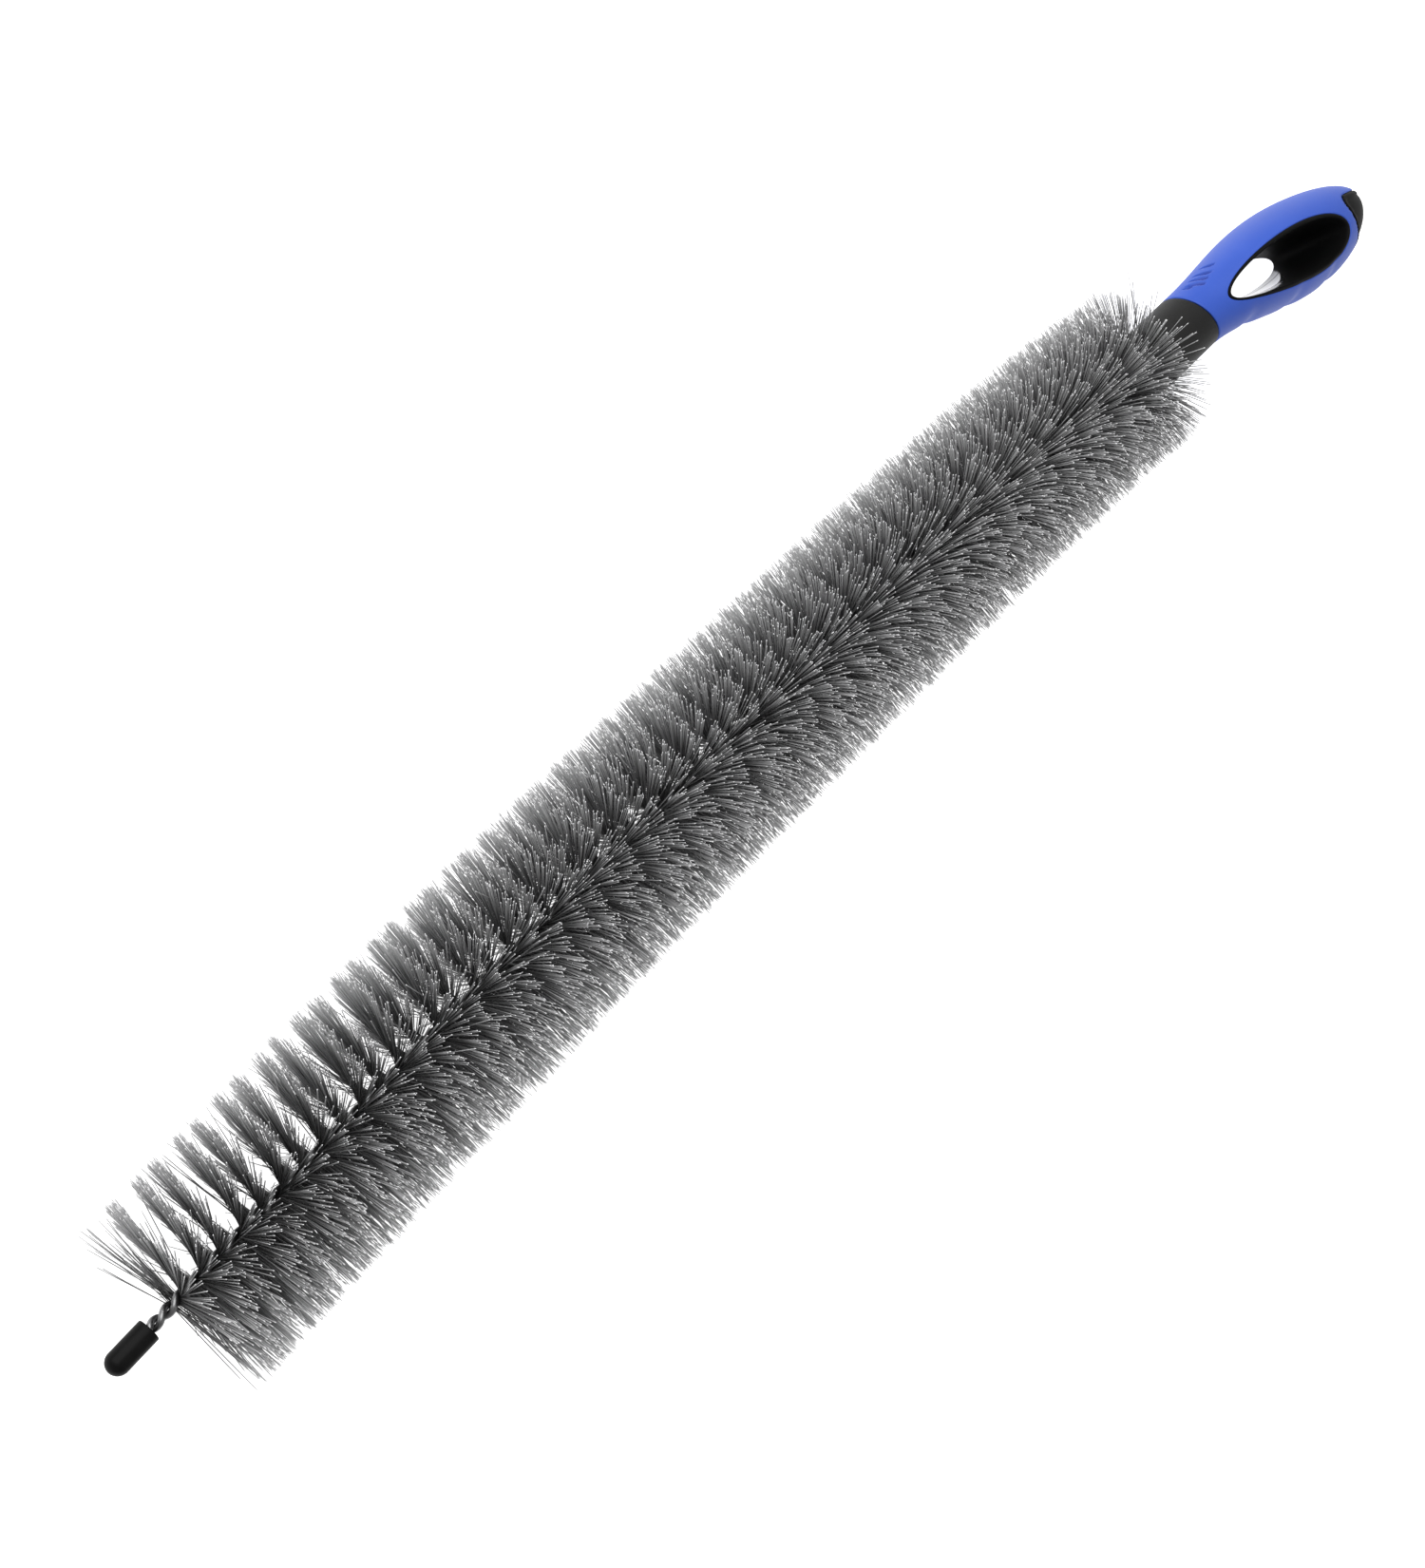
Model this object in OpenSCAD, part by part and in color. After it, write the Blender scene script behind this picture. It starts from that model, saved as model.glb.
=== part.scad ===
// Twisted-wire wheel brush: a long bristle head on a two-wire stem, a push-on
// tip cap, and a loop handle with a hard core under a soft moulded grip.
//
// The stem runs along X, from the capped tip to the handle at +X. The window of
// the handle opens along Z. The brush lies on its bristles on the plane Z = 0,
// and the origin is the middle of its footprint.

/* [Bristle head] */
// Diameter over the tips of the bristles
head_d = 55; // [40:1:75]
// Length of one full turn of the bristle spiral
pitch = 13.6; // [11:0.1:18]
// Number of full turns in the head
head_turns = 29; // [12:1:30]
// Angle that the packed bristles fill on each side of the wires
fan_angle = 10; // [6:1:16]
// Thickness of the bristles where the wires pinch them
web_t = 0.3; // [0.2:0.05:0.6]
// Thickness of the bristles where they leave the wires
root_t = 0.42; // [0.3:0.02:0.8]

/* [Stem] */
// Diameter of each of the two wires
wire_d = 1.8; // [1.2:0.1:3]
// Gap between each wire and the pinched bristles
wire_gap = 0.12; // [0.1:0.01:0.25]
// Length of one full turn of the bare wires, between the cap and the bristles
bare_pitch = 8.4; // [6:0.1:12]
// Length of the bare wires between the cap and the first bristles
bare_len = 12; // [6:0.5:25]
// Sideways bow of the stem at the middle of the head
bow = 4.9; // [0:0.1:12]
// How sharply the bow falls off towards the tip: 2 is a parabola
front_bend = 1.8; // [1.5:0.1:4]
// How sharply the bow falls off towards the handle
back_bend = 4; // [1.5:0.1:5]

/* [Tip cap] */
// Outside diameter of the cap
cap_d = 6.4; // [5.6:0.1:10]
// Length of the cap, its round end included
cap_len = 13.3; // [9:0.1:20]
// Depth of the bore that the wires push into
cap_bore_depth = 9.8; // [5:0.1:11]
// Radial clearance between the twisted wires and each bore they enter
bore_clearance = 0.05; // [0.02:0.01:0.1]

/* [Handle] */
// Diameter of the ferrule, the bare front of the handle's core
ferrule_d = 20.4; // [16:0.1:26]
// Length of the ferrule in front of the grip
ferrule_len = 22.1; // [15:0.1:40]
// Space between the last bristles and the ferrule
neck_gap = 2; // [0.5:0.5:6]
// Depth of the bore that holds the wires
stem_bore_depth = 24; // [12:0.5:28]
// Length of the grip
grip_len = 90.8; // [82:0.1:110]
// Largest width of the grip, across the window
grip_w = 31.4; // [26:0.1:42]
// Largest depth of the grip, through the window
grip_depth = 37.1; // [26:0.1:46]
// Thickness of the soft grip over the hard core
grip_t = 2.2; // [1.4:0.1:3]
// How far the butt of the grip swings to the side
grip_swing = 9.3; // [0:0.1:14]
// How far the butt of the grip dips towards the plane the brush lies on
grip_dip = 3.9; // [0:0.1:9]
// Angle that the front edge of the grip is turned from square
front_slant = 13; // [0:0.5:20]

/* [Butt insert] */
// Length of the hard insert in the butt of the grip
butt_len = 18.8; // [14:0.1:20]
// Distance from the stem's line down to the insert's upper corner
butt_drop = 3.4; // [0:0.1:6]
// Angle that the insert's upper edge falls away towards the butt
butt_fall = 14; // [5:0.5:25]
// Radius of the insert's upper corner
butt_corner = 3.4; // [2:0.1:5]

/* [Window] */
// Distance from the front of the grip to the window's upper rim
window_start = 8.4; // [7.5:0.1:14]
// Length of the window at its upper rim
window_len = 57.8; // [45:0.1:60]
// Distance from the front of the grip to the window's lower rim
window_under_start = 20.9; // [9:0.1:24]
// Length of the window at its lower rim
window_under_len = 40.4; // [34:0.1:50]
// Width of the window at its upper rim
window_w = 15.6; // [10:0.1:17]
// Width of the window at its lower rim
window_under_w = 9.8; // [8:0.1:15]
// Angle that the window is turned from the line of the grip
window_skew = 2.3; // [0:0.1:8]
// Thickness of the hard lining round the window
lip_t = 1.5; // [0.8:0.1:2]

/* [Hidden] */
// Slices in one turn of the spiral: an even number, so that both fans line up.
turn_slices = 10;
wire_sides = 6;
// Stations along the handle and points round it.
front_rings = 9;
back_rings = 11;
ring_points = 28;
window_points = 36;
round_fn = 64;
// Where along the grip its width and its depth are largest.
widest_at = 50;
deepest_at = 43;
// Exponents of the grip's swelling front and of its round butt.
swell = 1.87;
roundness = 1.82;
bend_ease = 1.67;
// How much fuller the window is towards the butt.
egg = 0.23;
// How far tools that cut through the grip stand out of it.
reach = 12;
// Steps round the insert's upper corner.
corner_steps = 5;
// How far the core under the grip runs into the ferrule.
joint_in = 1;
// Radius that the last ring of a closed form shrinks to.
pole_r = 0.4;

head_len = head_turns * pitch;
head_r = head_d / 2;
// The head rests on flats between neighbouring slices.
rest_h = head_r * cos(180 / turn_slices - fan_angle / 2);
wire_r = wire_d / 2;
// Distance from the stem's centreline to each wire's centreline.
lay_r = wire_r + web_t / 2 + wire_gap;
twist_r = lay_r + wire_r;
bore_r = twist_r + bore_clearance;
web_r = 1.1 * lay_r;
fan_half = fan_angle / 2;

cap_mouth_x = -bare_len;
cap_end_x = cap_mouth_x - cap_len;
wire_end_play = 0.4;
wire_start_x = cap_mouth_x - cap_bore_depth + wire_end_play;
ferrule_x = head_len + neck_gap;
wire_end_x = ferrule_x + stem_bore_depth - wire_end_play;
grip_x = ferrule_x + ferrule_len;
butt_x = grip_x + grip_len;
// How far the slanted front edge of the grip reaches in front of grip_x.
slant_in = ferrule_d / 2 * tan(front_slant);
// Where the forms of the grip begin, inside the ferrule.
form_start = -slant_in - joint_in;
// The stem runs straight along the slope of its bow beyond the first bristles.
tip_slope = 2 * front_bend * bow / head_len;

// Middle of the footprint, which the origin sits under.
mid_x = (cap_end_x + butt_x) / 2;
mid_y = bow / 2;

TURNS = [for (i = [1:head_turns]) str("bristle_turn_", i < 10 ? "0" : "", i)];

// Sideways place of the stem's centreline: a bow along the head, straight in
// front of it and straight in the handle.
function stem_y(x) =
    x < 0 ? tip_slope * x :
    x > head_len ? 0 :
    let (v = 2 * x / head_len - 1)
    bow * (1 - pow(abs(v), v < 0 ? front_bend : back_bend));

// Angle of the bristles about the stem. The spiral is left-handed, and it is
// tighter where the wires are bare.
function lay_angle(x) = x < 0 ? -360 * x / bare_pitch : -360 * x / pitch;

// Points of a flat outline, turned by an angle, in the plane square to X at x.
function slice(outline, x, angle) = [for (p = outline) [
    x,
    stem_y(x) + p[0] * cos(angle) - p[1] * sin(angle),
    p[0] * sin(angle) + p[1] * cos(angle)
]];

function is_in(value, list) = len([for (v = list) if (v == value) v]) > 0;

// The two triangles between neighbouring rings at one side of the outline. The
// diagonal is turned where the opposite face of a thin sheet needs it.
function quad_faces(a, b, c, d, turned) =
    turned ? [[a, d, b], [a, c, d]] : [[a, c, b], [b, c, d]];

// Faces of a skin over closed rings of points, with a flat face on each end.
// The sides of the outline in turned have their diagonals turned.
function skin_faces(rings, points, turned) = concat(
    [[for (j = [0:points - 1]) j]],
    [for (i = [0:rings - 2]) for (j = [0:points - 1])
        let (next = (j + 1) % points, low = i * points, high = low + points)
        each quad_faces(low + j, low + next, high + j, high + next, is_in(j, turned))],
    [[for (j = [points - 1:-1:0]) (rings - 1) * points + j]]
);

module skin(rings, turned = []) {
    points = len(rings[0]);
    polyhedron(
        points = [for (ring = rings) for (p = ring) p],
        faces = skin_faces(len(rings), points, turned),
        convexity = 6
    );
}

module place() {
    translate([-mid_x, -mid_y, rest_h]) children();
}

// Swelling front of the grip, from 0 to 1.
function swelling(u) = pow(sin(90 * min(max(u, 0), 1)), swell);
// Round butt of the grip, from 1 to 0.
function closing(u) = sqrt(max(0, 1 - pow(min(max(u, 0), 1), roundness)));
// Half size of a form that swells from r0 to r1 at peak and closes at end.
function half_size(h, r0, r1, peak, end) =
    h <= peak ? r0 + (r1 - r0) * swelling(h / peak)
              : r1 * closing((h - peak) / (end - peak));
// How far the centreline of the grip has bent at a distance behind its front.
function bent(h) = pow(sin(90 * min(max(h / grip_len, 0), 1)), bend_ease);
function grip_y(h) = -grip_swing * bent(h);
function grip_z(h) = -grip_dip * bent(h);

// Stations along a form of the grip: even along the front, closer at the butt.
function stations(start, peak, end) = concat(
    [for (i = [0:front_rings - 1]) start + (peak - start) * i / front_rings],
    [for (i = [0:back_rings]) peak + (end - peak) * sin(90 * i / back_rings)]
);

// The outside of the grip, or a form that lies inset under it.
module grip_form(inset, start) {
    end = grip_len - inset;
    rings = [for (h = stations(start, widest_at, end))
        let (
            w = max(pole_r, half_size(h, ferrule_d / 2, grip_w / 2, widest_at, grip_len) - inset),
            d = max(pole_r, half_size(h, ferrule_d / 2, grip_depth / 2, deepest_at, grip_len) - inset)
        )
        [for (j = [0:ring_points - 1])
            let (a = 360 * j / ring_points)
            [grip_x + h, grip_y(h) + w * cos(a), grip_z(h) + d * sin(a)]]
    ];
    skin(rings);
}

// Outline of the window at height z: an egg with its small end to the front.
function window_ring(start, length, width, extra, z) =
    let (middle = start + length / 2)
    [for (j = [0:window_points - 1])
        let (
            a = 360 * j / window_points,
            h = middle + (length / 2 + extra) * cos(a),
            y = (width / 2 + extra) * sin(a) * (1 + egg * cos(a))
        )
        [grip_x + h, grip_y(h) - (h - window_start) * tan(window_skew) + y, z]];

// The window's own space, or a larger one around its lining.
module window_form(extra) {
    top = grip_depth / 2;
    slope_start = (window_under_start - window_start) / grip_depth;
    slope_len = (window_under_len - window_len) / grip_depth;
    slope_w = (window_under_w - window_w) / grip_depth;
    low = -top - grip_dip - reach;
    high = top + reach;
    skin([for (z = [low, high])
        window_ring(
            window_start + slope_start * (top - z),
            window_len + slope_len * (top - z),
            window_w + slope_w * (top - z),
            extra, z)
    ]);
}

// The butt insert's share of the grip: the corner of the butt that lies below
// a falling line and behind a square one, with the corner between them rounded.
module butt_region() {
    corner = [butt_x - butt_len + butt_corner, -butt_drop - butt_corner];
    far_x = butt_len + reach;
    far_y = grip_w + grip_swing;
    outline = concat(
        [for (k = [0:corner_steps])
            let (a = 180 - (90 + butt_fall) * k / corner_steps)
            corner + butt_corner * [cos(a), sin(a)]],
        [corner + [far_x, -far_x * tan(butt_fall)],
         corner + [far_x, -far_y - far_x * tan(butt_fall)],
         corner + [-butt_corner, -far_y]]
    );
    high = grip_depth / 2 + reach;
    skin([for (z = [high, -high - grip_dip])
        [for (p = outline) [p[0], p[1], z]]]);
}

// Everything in front of the slanted front edge of the grip.
module front_region() {
    box = 2 * (ferrule_d + ferrule_len);
    translate([grip_x, 0, 0])
        rotate([0, 0, front_slant])
        translate([-box, -box / 2, -box / 2])
        cube([box, box, box]);
}

module tip_cap() {
    r = cap_d / 2;
    angle = atan(tip_slope);
    color([0.05, 0.05, 0.05])
    place()
    translate([cap_mouth_x, stem_y(cap_mouth_x), 0])
    rotate([0, 0, angle])
    rotate([0, -90, 0])
    difference() {
        union() {
            cylinder(h = cap_len - r, r = r, $fn = round_fn);
            translate([0, 0, cap_len - r]) sphere(r = r, $fn = round_fn);
        }
        translate([0, 0, -1])
            cylinder(h = cap_bore_depth + 1, r = bore_r, $fn = round_fn);
    }
}

// One wire of the stem, on the given side of the pinched bristles.
module stem_wire(side) {
    outline = [for (k = [0:wire_sides - 1])
        let (a = 360 * k / wire_sides)
        [wire_r * cos(a), side * lay_r + wire_r * sin(a)]];
    step = pitch / turn_slices;
    bare_step = bare_pitch / turn_slices;
    bare_steps = floor(-wire_start_x / bare_step);
    steps = floor(wire_end_x / step);
    xs = concat(
        [wire_start_x],
        [for (i = [bare_steps:-1:1]) -i * bare_step],
        [for (i = [0:steps]) i * step],
        [wire_end_x]
    );
    color([0.62, 0.62, 0.64])
    place()
    skin([for (x = xs) slice(outline, x, lay_angle(x))]);
}

module stem_wire_a() {
    stem_wire(1);
}

module stem_wire_b() {
    stem_wire(-1);
}

// One full turn of packed bristles, pinched to a thin web between the wires.
module bristle_turn(turn) {
    side = [
        [web_r, -root_t / 2],
        [head_r * cos(fan_half), -head_r * sin(fan_half)],
        [head_r * cos(fan_half), head_r * sin(fan_half)],
        [web_r, root_t / 2],
        [0, web_t / 2]
    ];
    outline = concat(side, [for (p = side) -p]);
    // The upper side of each fan, and the web under it, repeat the lower side.
    upper = [2, 4, 7, 9];
    step = pitch / turn_slices;
    color([0.36, 0.36, 0.37])
    place()
    skin([for (i = [0:turn_slices])
        let (x = (turn - 1) * pitch + i * step)
        slice(outline, x, lay_angle(x))
    ], upper);
}

module handle_core() {
    color([0.06, 0.06, 0.06])
    place()
    difference() {
        union() {
            intersection() {
                translate([ferrule_x, 0, 0])
                    rotate([0, 90, 0])
                    cylinder(h = ferrule_len + slant_in + joint_in, d = ferrule_d, $fn = round_fn);
                front_region();
            }
            grip_form(grip_t, form_start);
            intersection() {
                grip_form(0, form_start);
                union() {
                    window_form(lip_t);
                    butt_region();
                }
            }
        }
        window_form(0);
        translate([ferrule_x - 1, 0, 0])
            rotate([0, 90, 0])
            cylinder(h = stem_bore_depth + 1, r = bore_r, $fn = round_fn);
    }
}

module grip() {
    color([0.3, 0.42, 0.83])
    place()
    difference() {
        grip_form(0, form_start);
        grip_form(grip_t, form_start);
        front_region();
        window_form(lip_t);
        butt_region();
    }
}

tip_cap();
stem_wire_a();
stem_wire_b();
handle_core();
grip();
for (i = [1:head_turns])
    bristle_turn(i);
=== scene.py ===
"""Looks of a twisted-wire wheel brush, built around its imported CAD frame.

Lengths are in metres and angles in radians, in the frame's own axes: +X runs
along the stem to the handle, +Z points up through the handle's window. The
stem's path, its twist and the size of the bristle head are read from the
frame's nodes. Each shape is a function of two parameters, or a profile carried
along a path, worked out with numpy as whole arrays.
"""

import bmesh
import bpy
import numpy as np
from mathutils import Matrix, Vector


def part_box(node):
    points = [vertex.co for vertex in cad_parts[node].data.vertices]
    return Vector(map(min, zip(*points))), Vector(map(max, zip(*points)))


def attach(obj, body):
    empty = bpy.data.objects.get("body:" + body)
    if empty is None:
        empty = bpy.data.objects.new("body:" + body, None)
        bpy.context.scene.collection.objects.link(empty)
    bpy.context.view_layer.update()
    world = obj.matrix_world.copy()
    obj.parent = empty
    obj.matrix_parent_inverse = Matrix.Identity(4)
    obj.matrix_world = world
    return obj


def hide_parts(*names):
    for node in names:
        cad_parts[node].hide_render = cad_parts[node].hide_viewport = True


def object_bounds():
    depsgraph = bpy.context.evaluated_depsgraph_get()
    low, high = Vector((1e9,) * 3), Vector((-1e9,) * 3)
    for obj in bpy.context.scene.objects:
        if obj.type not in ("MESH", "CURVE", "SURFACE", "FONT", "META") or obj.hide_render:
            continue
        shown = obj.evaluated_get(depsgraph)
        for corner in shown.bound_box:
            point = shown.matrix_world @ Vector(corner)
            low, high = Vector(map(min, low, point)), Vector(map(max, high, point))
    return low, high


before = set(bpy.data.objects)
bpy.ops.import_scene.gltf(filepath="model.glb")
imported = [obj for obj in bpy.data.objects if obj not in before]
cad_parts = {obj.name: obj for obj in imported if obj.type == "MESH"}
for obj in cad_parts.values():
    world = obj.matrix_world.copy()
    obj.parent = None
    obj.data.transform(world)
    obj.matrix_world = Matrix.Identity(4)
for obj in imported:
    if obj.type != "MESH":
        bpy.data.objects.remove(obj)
cad_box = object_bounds()

MM = 0.001
TAU = 2 * np.pi
rng = np.random.default_rng(20)

# ---------------------------------------------------------------- named sizes

# Handle: the sizes of the frame's grip and core, with a rounder corner on the
# butt insert.
GRIP_LEN = 90.8 * MM
GRIP_W = 31.4 * MM
GRIP_DEPTH = 37.1 * MM
GRIP_SWING = 9.3 * MM
GRIP_DIP = 3.9 * MM
WIDEST_AT = 50 * MM
DEEPEST_AT = 43 * MM
SWELL = 1.87
ROUNDNESS = 1.82
BEND_EASE = 1.67
FRONT_SLANT = np.radians(13)
WINDOW_START = 8.4 * MM
WINDOW_LEN = 57.8 * MM
WINDOW_W = 15.6 * MM
WINDOW_UNDER_START = 20.9 * MM
WINDOW_UNDER_LEN = 40.4 * MM
WINDOW_UNDER_W = 9.8 * MM
WINDOW_SKEW = np.radians(2.3)
WINDOW_EGG = 0.23
LIP_T = 1.5 * MM
BUTT_LEN = 18.8 * MM
BUTT_DROP = 3.4 * MM
BUTT_FALL = np.radians(14)
BUTT_CORNER = 4.4 * MM

# Handle: details that the frame leaves out. A groove is given by its distance
# behind the grip's front in millimetres and the two angles in degrees it spans.
SKIN_WALL = 1.6 * MM
RIM_ROUND = 0.55 * MM
FRONT_ROUND = 0.5 * MM
INSERT_ROUND = 0.6 * MM
DISH_START = 1.1 * MM
DISH_RUN = 0.9 * MM
DISH_DEPTH = 0.6 * MM
GROOVES = ((15.2, 61, 80), (11.1, 53, 78), (8.4, 49, 75), (5.7, 44, 72), (3.4, 58, 71))
GROOVE_HALF_W = 0.95 * MM
GROOVE_DEPTH = 1.0 * MM
GROOVE_SLANT = 0.117
GROOVE_BLUNT_SHARE = 0.10
GROOVE_TAPER = 0.4
NOTCHES_AT = (18.2 * MM, 37.4 * MM, 54.6 * MM)
NOTCH_LEN = 2.6 * MM
NOTCH_DEPTH = 0.85 * MM

# Window lining: its lip, the parting line as a share of the wall's height, and
# the angles in degrees between which the wall is polished.
LIP_ROUND = 0.45 * MM
LIP_FALL = 0.9
LIP_CREST = 0.55
LIP_ROLL = 1.0 * MM
LOWER_LIP_SHARE = 0.3
PARTING_AT = 0.87
PARTING_W = 0.010
POLISH_FROM = 195
POLISH_TO = 332
POLISH_TO_HEIGHT = 8.3
POLISH_RAKE = 3.2

# Ferrule.
FERRULE_RIM = 0.7 * MM
FERRULE_MOUTH_EDGE = 0.3 * MM
FERRULE_MOUTH_DEPTH = 6 * MM
FERRULE_TO_GRIP = 0.7 * MM
FERRULE_INSIDE_GRIP = 5 * MM

# Tip cap.
CAP_LEN = 13.3 * MM
CAP_TO_HEAD = 12.0 * MM
CAP_BORE_DEPTH = 9.8 * MM
CAP_EDGE = 0.35 * MM
CAP_WALL_START = 1.0 * MM
CAP_MOUTH_EDGE = 0.2 * MM

# The radius to which a closed end narrows, inside a bore and outside.
BORE_FLOOR_R = 0.05 * MM
POLE_R = 0.02 * MM

# Stem: the wires all but touch, where the frame's leave room between them.
WIRE_R = 0.9 * MM
TWIST_R = 0.93 * MM
WIRE_STATIONS = 1500
WIRE_SIDES = 12

# Bristles: how many, how thick, and where along them their rings lie.
FILAMENTS_PER_TURN = 400
FILAMENT_R = 0.14 * MM
FILAMENT_THINNEST = 0.85
FILAMENT_SPREAD = 0.3
FILAMENT_SIDES = 3
FILAMENT_STATIONS = (0, 0.33, 0.66, 0.97, 1)
SHEARED_FROM = 0.98
TINT_CURVE = 1.3

# Bristles: how far they reach.
REACH_AT_TIP = 28.1 * MM
REACH_AT_HANDLE = 26.6 * MM
REACH_SCATTER = 0.25 * MM
REACH_SHORTFALL = 1.1 * MM
TIP_SIDE_EXTRA = 0.6 * MM
SIDE_EXTRA = 1.3 * MM
TOP_ALLOWANCE = 1.02
SIDE_ALLOWANCE = 1.048
TABLE_GAP = 1.2 * FILAMENT_R

# Bristles: how they point.
KINK = np.radians(-15)
TILT = np.radians(-0.8)
LEAN = np.radians(3)
SIDE_LEAN = np.radians(1.5)
LEAN_SCATTER = np.radians(1.5)
UNEVENNESS = 0.7
LEAST_LEAN = -np.radians(30)
MOST_LEAN = np.radians(27)
TURN_SCATTER = np.radians(5)
BOW_SCATTER = 0.2 * MM
STRAY_SHARE = 0.05
STRAY_SCATTER = np.radians(9)

# Bristles: the loose ones at both ends of the head.
LEAD_LEN = 5.0 * MM
FRONT_SPLAY = 2.4 * MM
FRONT_FALL = np.radians(28)
FRONT_THINNING = 0.80
BACK_SPLAY = 6.5 * MM
BACK_FALL = np.radians(24)
BACK_THINNING = 0.93

# Stage: a lamp is its name, its place, where it points, its width and its power.
TABLE_HALF = 6.0
ROOM_LIGHT = 0.38
LAMPS = (
    ("key", (-0.10, 0.75, 0.95), (0.05, 0.0, 0.0), 1.5, 26.0),
    ("fill", (0.5, -0.8, 0.8), (0.1, 0.0, 0.0), 1.8, 4.0),
)
CAMERA_LENS = 54.27
CAMERA_PLACE = (-0.3236, 0.13266, 0.58807)
CAMERA_TURN = (0.13471, -0.47900, -0.74810)


# ------------------------------------------------------------ frame's own data


def node_points(name):
    """The corners of a node's mesh, each once."""
    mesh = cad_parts[name].data
    points = np.empty(3 * len(mesh.vertices))
    mesh.vertices.foreach_get("co", points)
    return np.unique(np.round(points.reshape(-1, 3), 7), axis=0)


def slice_means(points):
    """The mean of the points that share an x, for each x in order."""
    xs, group = np.unique(np.round(points[:, 0], 5), return_inverse=True)
    count = np.bincount(group)
    return xs, *(np.bincount(group, points[:, k]) / count for k in (1, 2))


turn_names = sorted(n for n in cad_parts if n.startswith("bristle_turn_"))
HEAD_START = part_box(turn_names[0])[0][0]
HEAD_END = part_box(turn_names[-1])[1][0]
PITCH = (HEAD_END - HEAD_START) / len(turn_names)
HEAD_TOP = TOP_ALLOWANCE * cad_box[1][2]
HEAD_SIDE = SIDE_ALLOWANCE * cad_box[1][1]
wire_x, wire_y, wire_z = slice_means(node_points("stem_wire_a"))
_, other_y, other_z = slice_means(node_points("stem_wire_b"))
AXIS_Y, AXIS_Z = (wire_y + other_y) / 2, (wire_z + other_z) / 2
# The bristles point a quarter turn behind the first wire.
LAY = np.unwrap(np.arctan2(wire_z - AXIS_Z, wire_y - AXIS_Y)) - TAU / 4
core_points = node_points("handle_core")
FERRULE_X = core_points[:, 0].min()
mouth = core_points[core_points[:, 0] < FERRULE_X + 1e-6][:, 1:]
FERRULE_Y, FERRULE_Z = (mouth.min(0) + mouth.max(0)) / 2
FERRULE_R = np.ptp(mouth[:, 0]) / 2
BORE_R = np.hypot(*(mouth - [FERRULE_Y, FERRULE_Z]).T).min()
BUTT_X = core_points[:, 0].max()
GRIP_X = BUTT_X - GRIP_LEN


def stem_y(x):
    """The y of the stem's centreline, which lies midway between the two wires."""
    return np.interp(x, wire_x, AXIS_Y)


def stem_z(x):
    """The z of the stem's centreline."""
    return np.interp(x, wire_x, AXIS_Z)


def lay_angle(x):
    """The direction in which the bristles leave the stem, from +Y towards +Z."""
    return np.interp(x, wire_x, LAY)


# ------------------------------------------------------------------- meshes


def new_piece(name, points, faces, material, body, replaces):
    """A mesh object from arrays, riding on a body and standing for nodes."""
    mesh = bpy.data.meshes.new(name)
    mesh.from_pydata(points.reshape(-1, 3), [], faces)
    mesh.validate()
    mesh.polygons.foreach_set("use_smooth", np.full(len(mesh.polygons), True))
    mesh.materials.append(material)
    piece = bpy.data.objects.new(name, mesh)
    bpy.context.scene.collection.objects.link(piece)
    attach(piece, body)
    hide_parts(*replaces)
    return piece


def grid_faces(rows, columns, wrap_rows=False, wrap_columns=False, first=0):
    """Quads over a grid of points stored row by row."""
    i = np.arange(rows if wrap_rows else rows - 1)[:, None]
    j = np.arange(columns if wrap_columns else columns - 1)[None, :]
    down, right = (i + 1) % rows, (j + 1) % columns
    quads = np.stack(
        [i * columns + j, i * columns + right, down * columns + right, down * columns + j], -1
    )
    return first + quads.reshape(-1, 4)


def tube_faces(rows, sides):
    """The wall of a tube made of rings, and a face over each of its ends."""
    last = (rows - 1) * sides
    ends = [list(range(sides)), list(range(last + sides - 1, last - 1, -1))]
    return [*grid_faces(rows, sides, wrap_columns=True).tolist(), *ends]


def point_attribute(piece, name, values):
    """One number for each point of the mesh, for its material to read."""
    attribute = piece.data.attributes.new(name, "FLOAT", "POINT")
    attribute.data.foreach_set("value", np.asarray(values, dtype=np.float32).ravel())


def outward(piece, merge=1e-6):
    """Merges doubled points and turns every face outwards."""
    bm = bmesh.new()
    bm.from_mesh(piece.data)
    bmesh.ops.remove_doubles(bm, verts=bm.verts, dist=merge)
    bmesh.ops.recalc_face_normals(bm, faces=bm.faces)
    bm.to_mesh(piece.data)
    bm.free()


def surface_of_revolution(profile, sides, centre, axis):
    """Points r from an axis and s along it, turned about it.

    Each profile point (s, r) becomes a ring: centre + s * axis + r * (cos t * u
    + sin t * v), with u and v square to the axis.
    """
    axis = np.asarray(axis) / np.linalg.norm(axis)
    u = np.cross(axis, [0, 0, 1])
    u /= np.linalg.norm(u)
    v = np.cross(axis, u)
    t = np.arange(sides) * TAU / sides
    round_ = np.cos(t)[:, None] * u + np.sin(t)[:, None] * v
    s, r = np.asarray(profile).T
    return centre + s[:, None, None] * axis + r[:, None, None] * round_


# ----------------------------------------------------------------- materials


class Shade:
    """A socket whose arithmetic adds Math nodes to its material."""

    def __init__(self, tree, value):
        self.tree, self.value = tree, value

    def math(self, operation, *others):
        values = [self.value] + [o.value if isinstance(o, Shade) else o for o in others]
        return self.tree.node("ShaderNodeMath", {"operation": operation}, values)

    def __add__(self, o):
        return self.math("ADD", o)

    def __mul__(self, o):
        return self.math("MULTIPLY", o)

    __radd__, __rmul__ = __add__, __mul__

    def step(self, low, high):
        """0 below low, 1 above high, smooth between."""
        return self.tree.node(
            "ShaderNodeMapRange",
            {"interpolation_type": "SMOOTHSTEP"},
            [self.value, low, high, 0.0, 1.0],
        )


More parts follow.
